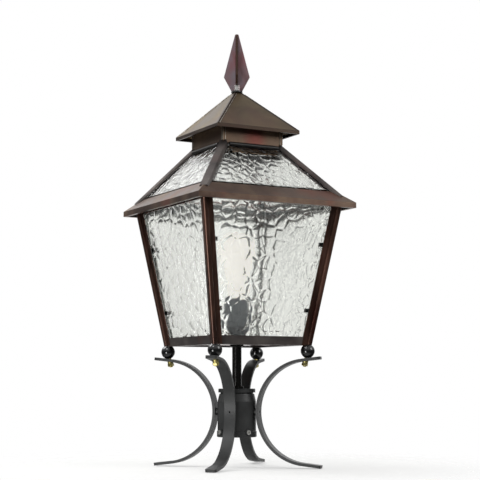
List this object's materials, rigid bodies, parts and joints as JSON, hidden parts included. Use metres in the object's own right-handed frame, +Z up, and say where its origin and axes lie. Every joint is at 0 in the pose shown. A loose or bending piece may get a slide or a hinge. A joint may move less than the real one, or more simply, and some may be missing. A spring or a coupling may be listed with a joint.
{
  "type": "post top lantern",
  "caption": "Square tapered post top lantern on bowed arms round a post fitter, with textured glass, a hipped glazed roof, a vented cap and a kite finial.",
  "frame": {"origin": "centre of the post fitter's mouth, on the axis of the post", "axes": "+Z up along the post, -Y towards one glass side, +X to its right seen from outside"},
  "size_m": [0.3914, 0.3914, 0.9874],
  "materials": {
    "black_iron": "satin black paint",
    "black_lacquer": "gloss black lacquer",
    "blackened_steel": "blackened",
    "zinc_steel": "bright zinc",
    "bright_brass": "lightly aged",
    "dark_brass": "dark bronze patina",
    "aged_copper": "mottled antique patina",
    "hammered_glass": "hammered, clear",
    "lamp_cap_metal": "bright",
    "frosted_glass": "frosted white",
    "grey_phenolic": "matte"
  },
  "bodies": {
    "lantern_body": {"post_fitter": "black_iron", "bracket_arm_1": "black_iron", "bracket_arm_2": "black_iron", "bracket_arm_3": "black_iron", "bracket_arm_4": "black_iron", "arm_spacers": "black_iron", "arm_screws": "black_iron", "foot_balls": "black_lacquer", "conduit": "blackened_steel", "conduit_lock_nuts": "blackened_steel", "pane_clips": "blackened_steel", "tie_rod": "zinc_steel", "tie_nuts": "zinc_steel", "corner_studs": "bright_brass", "bevel_washers": "bright_brass", "brass_nuts": "bright_brass", "lampholder_shell": "bright_brass", "corner_post_1": "dark_brass", "corner_post_2": "dark_brass", "corner_post_3": "dark_brass", "corner_post_4": "dark_brass", "bottom_rail_1": "dark_brass", "bottom_rail_2": "dark_brass", "bottom_rail_3": "dark_brass", "bottom_rail_4": "dark_brass", "top_rail_1": "dark_brass", "top_rail_2": "dark_brass", "top_rail_3": "dark_brass", "top_rail_4": "dark_brass", "floor_plate": "dark_brass", "crossbar": "dark_brass", "body_glass_1": "hammered_glass", "body_glass_2": "hammered_glass", "body_glass_3": "hammered_glass", "body_glass_4": "hammered_glass", "lampholder": "grey_phenolic"},
    "roof": {"eave_panel_1": "aged_copper", "eave_panel_2": "aged_copper", "eave_panel_3": "aged_copper", "eave_panel_4": "aged_copper", "hip_bar_1": "aged_copper", "hip_bar_2": "aged_copper", "hip_bar_3": "aged_copper", "hip_bar_4": "aged_copper", "roof_glass_1": "hammered_glass", "roof_glass_2": "hammered_glass", "roof_glass_3": "hammered_glass", "roof_glass_4": "hammered_glass", "chimney": "aged_copper", "vent_cap": "aged_copper", "cap_straps": "aged_copper"},
    "washer": {"finial_washer": "black_iron"},
    "finial": {"finial_nut": "zinc_steel", "finial_vanes": "aged_copper"},
    "lamp": {"lamp_base": "lamp_cap_metal", "lamp_bulb": "frosted_glass"},
    "screw_1": {"set_screw_1": "blackened_steel"},
    "screw_2": {"set_screw_2": "blackened_steel"},
    "screw_3": {"set_screw_3": "blackened_steel"},
    "screw_4": {"set_screw_4": "blackened_steel"}
  },
  "joints": [
    {"name": "roof_lift", "type": "slide", "parent": "lantern_body", "child": "roof", "axis": [0, 0, 1], "range_m": [0, 0.3]},
    {"name": "finial_rise", "type": "slide", "parent": "roof", "child": "washer", "axis": [0, 0, 1], "range_m": [0, 0.01]},
    {"name": "finial_turn", "type": "hinge", "parent": "washer", "child": "finial", "pos_m": [0, 0, 0.79], "axis": [0, 0, 1], "range_deg": [0, 2881]},
    {"name": "lamp_turn", "type": "hinge", "parent": "lantern_body", "child": "lamp", "pos_m": [0, 0, 0.3], "axis": [0, 0, 1], "range_deg": [0, 1440]},
    {"name": "set_screw_1_travel", "type": "slide", "parent": "lantern_body", "child": "screw_1", "axis": [0.1045, -0.9945, 0], "range_m": [-0.00035, 0.006]},
    {"name": "set_screw_2_travel", "type": "slide", "parent": "lantern_body", "child": "screw_2", "axis": [0.9945, 0.1045, 0], "range_m": [-0.00035, 0.006]},
    {"name": "set_screw_3_travel", "type": "slide", "parent": "lantern_body", "child": "screw_3", "axis": [-0.1045, 0.9945, 0], "range_m": [-0.00035, 0.006]},
    {"name": "set_screw_4_travel", "type": "slide", "parent": "lantern_body", "child": "screw_4", "axis": [-0.9945, -0.1045, 0], "range_m": [-0.00035, 0.006]}
  ],
  "couplings": [
    {"joint": "finial_turn", "follows": "finial_rise", "rad_per_m": 5026.5}
  ]
}
